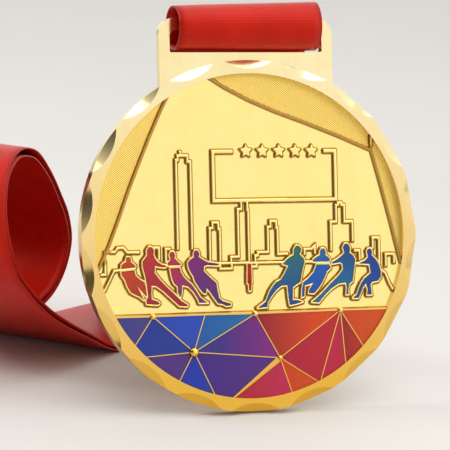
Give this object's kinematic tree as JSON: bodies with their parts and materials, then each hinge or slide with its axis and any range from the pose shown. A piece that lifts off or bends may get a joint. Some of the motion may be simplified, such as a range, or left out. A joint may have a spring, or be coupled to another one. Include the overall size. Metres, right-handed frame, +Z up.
{
  "type": "sports finisher medal on a neck ribbon",
  "caption": "Round gold medal with two teams pulling a rope, a city skyline, an empty sign frame with five stars and a coloured enamel band, leaning back on its red neck ribbon.",
  "frame": {"origin": "the point where the back edge of the rim's bottom touches the table", "axes": "+Z up; +X to the right along the ribbon bar as seen facing the medal; +Y to the back, away from the medal's face"},
  "size_m": [0.1268, 0.1162, 0.0795],
  "materials": {
    "gold_plate": "cast relief, bright gold plate",
    "ribbon_red": "woven satin",
    "stitch_red": "lock-stitched thread",
    "enamel_band_01": "glossy translucent enamel",
    "enamel_band_02": "glossy translucent enamel",
    "enamel_band_03": "glossy translucent enamel",
    "enamel_band_04": "glossy translucent enamel",
    "enamel_band_05": "glossy translucent enamel",
    "enamel_band_06": "glossy translucent enamel",
    "enamel_band_07": "glossy translucent enamel",
    "enamel_band_08": "glossy translucent enamel",
    "enamel_band_09": "glossy translucent enamel",
    "enamel_band_10": "glossy translucent enamel",
    "enamel_band_11": "glossy translucent enamel",
    "enamel_band_12": "glossy translucent enamel",
    "enamel_band_13": "glossy translucent enamel",
    "enamel_band_14": "glossy translucent enamel",
    "enamel_band_15": "glossy translucent enamel",
    "enamel_left_1_upper": "glossy translucent enamel",
    "enamel_left_1_lower": "glossy translucent enamel",
    "enamel_left_2": "glossy translucent enamel",
    "enamel_left_3_upper": "glossy translucent enamel",
    "enamel_left_3_lower": "glossy translucent enamel",
    "enamel_left_4": "glossy translucent enamel",
    "enamel_right_1": "glossy translucent enamel",
    "enamel_right_2_upper": "glossy translucent enamel",
    "enamel_right_2_lower": "glossy translucent enamel",
    "enamel_right_3": "glossy translucent enamel",
    "enamel_right_4": "glossy translucent enamel",
    "enamel_marker_flag": "glossy translucent enamel"
  },
  "bodies": {
    "ribbon": {"ribbon_bar_loop": "ribbon_red", "ribbon_sling": "ribbon_red", "ribbon_upper_lay": "ribbon_red", "ribbon_lower_lay": "ribbon_red", "ribbon_fold": "ribbon_red", "ribbon_curl": "ribbon_red", "ribbon_stitch_patch": "stitch_red"},
    "medal": {"medal_blank": "gold_plate", "enamel_band_01": "enamel_band_01", "enamel_band_02": "enamel_band_02", "enamel_band_03": "enamel_band_03", "enamel_band_04": "enamel_band_04", "enamel_band_05": "enamel_band_05", "enamel_band_06": "enamel_band_06", "enamel_band_07": "enamel_band_07", "enamel_band_08": "enamel_band_08", "enamel_band_09": "enamel_band_09", "enamel_band_10": "enamel_band_10", "enamel_band_11": "enamel_band_11", "enamel_band_12": "enamel_band_12", "enamel_band_13": "enamel_band_13", "enamel_band_14": "enamel_band_14", "enamel_band_15": "enamel_band_15", "enamel_left_1_upper": "enamel_left_1_upper", "enamel_left_1_lower": "enamel_left_1_lower", "enamel_left_2": "enamel_left_2", "enamel_left_3_upper": "enamel_left_3_upper", "enamel_left_3_lower": "enamel_left_3_lower", "enamel_left_4": "enamel_left_4", "enamel_right_1": "enamel_right_1", "enamel_right_2_upper": "enamel_right_2_upper", "enamel_right_2_lower": "enamel_right_2_lower", "enamel_right_3": "enamel_right_3", "enamel_right_4": "enamel_right_4", "enamel_marker_flag": "enamel_marker_flag"}
  },
  "joints": [
    {"name": "medal_swing", "type": "hinge", "parent": "ribbon", "child": "medal", "pos_m": [0, 0.0176, 0.07471], "axis": [-1, 0, 0], "range_deg": [0, 170]}
  ]
}
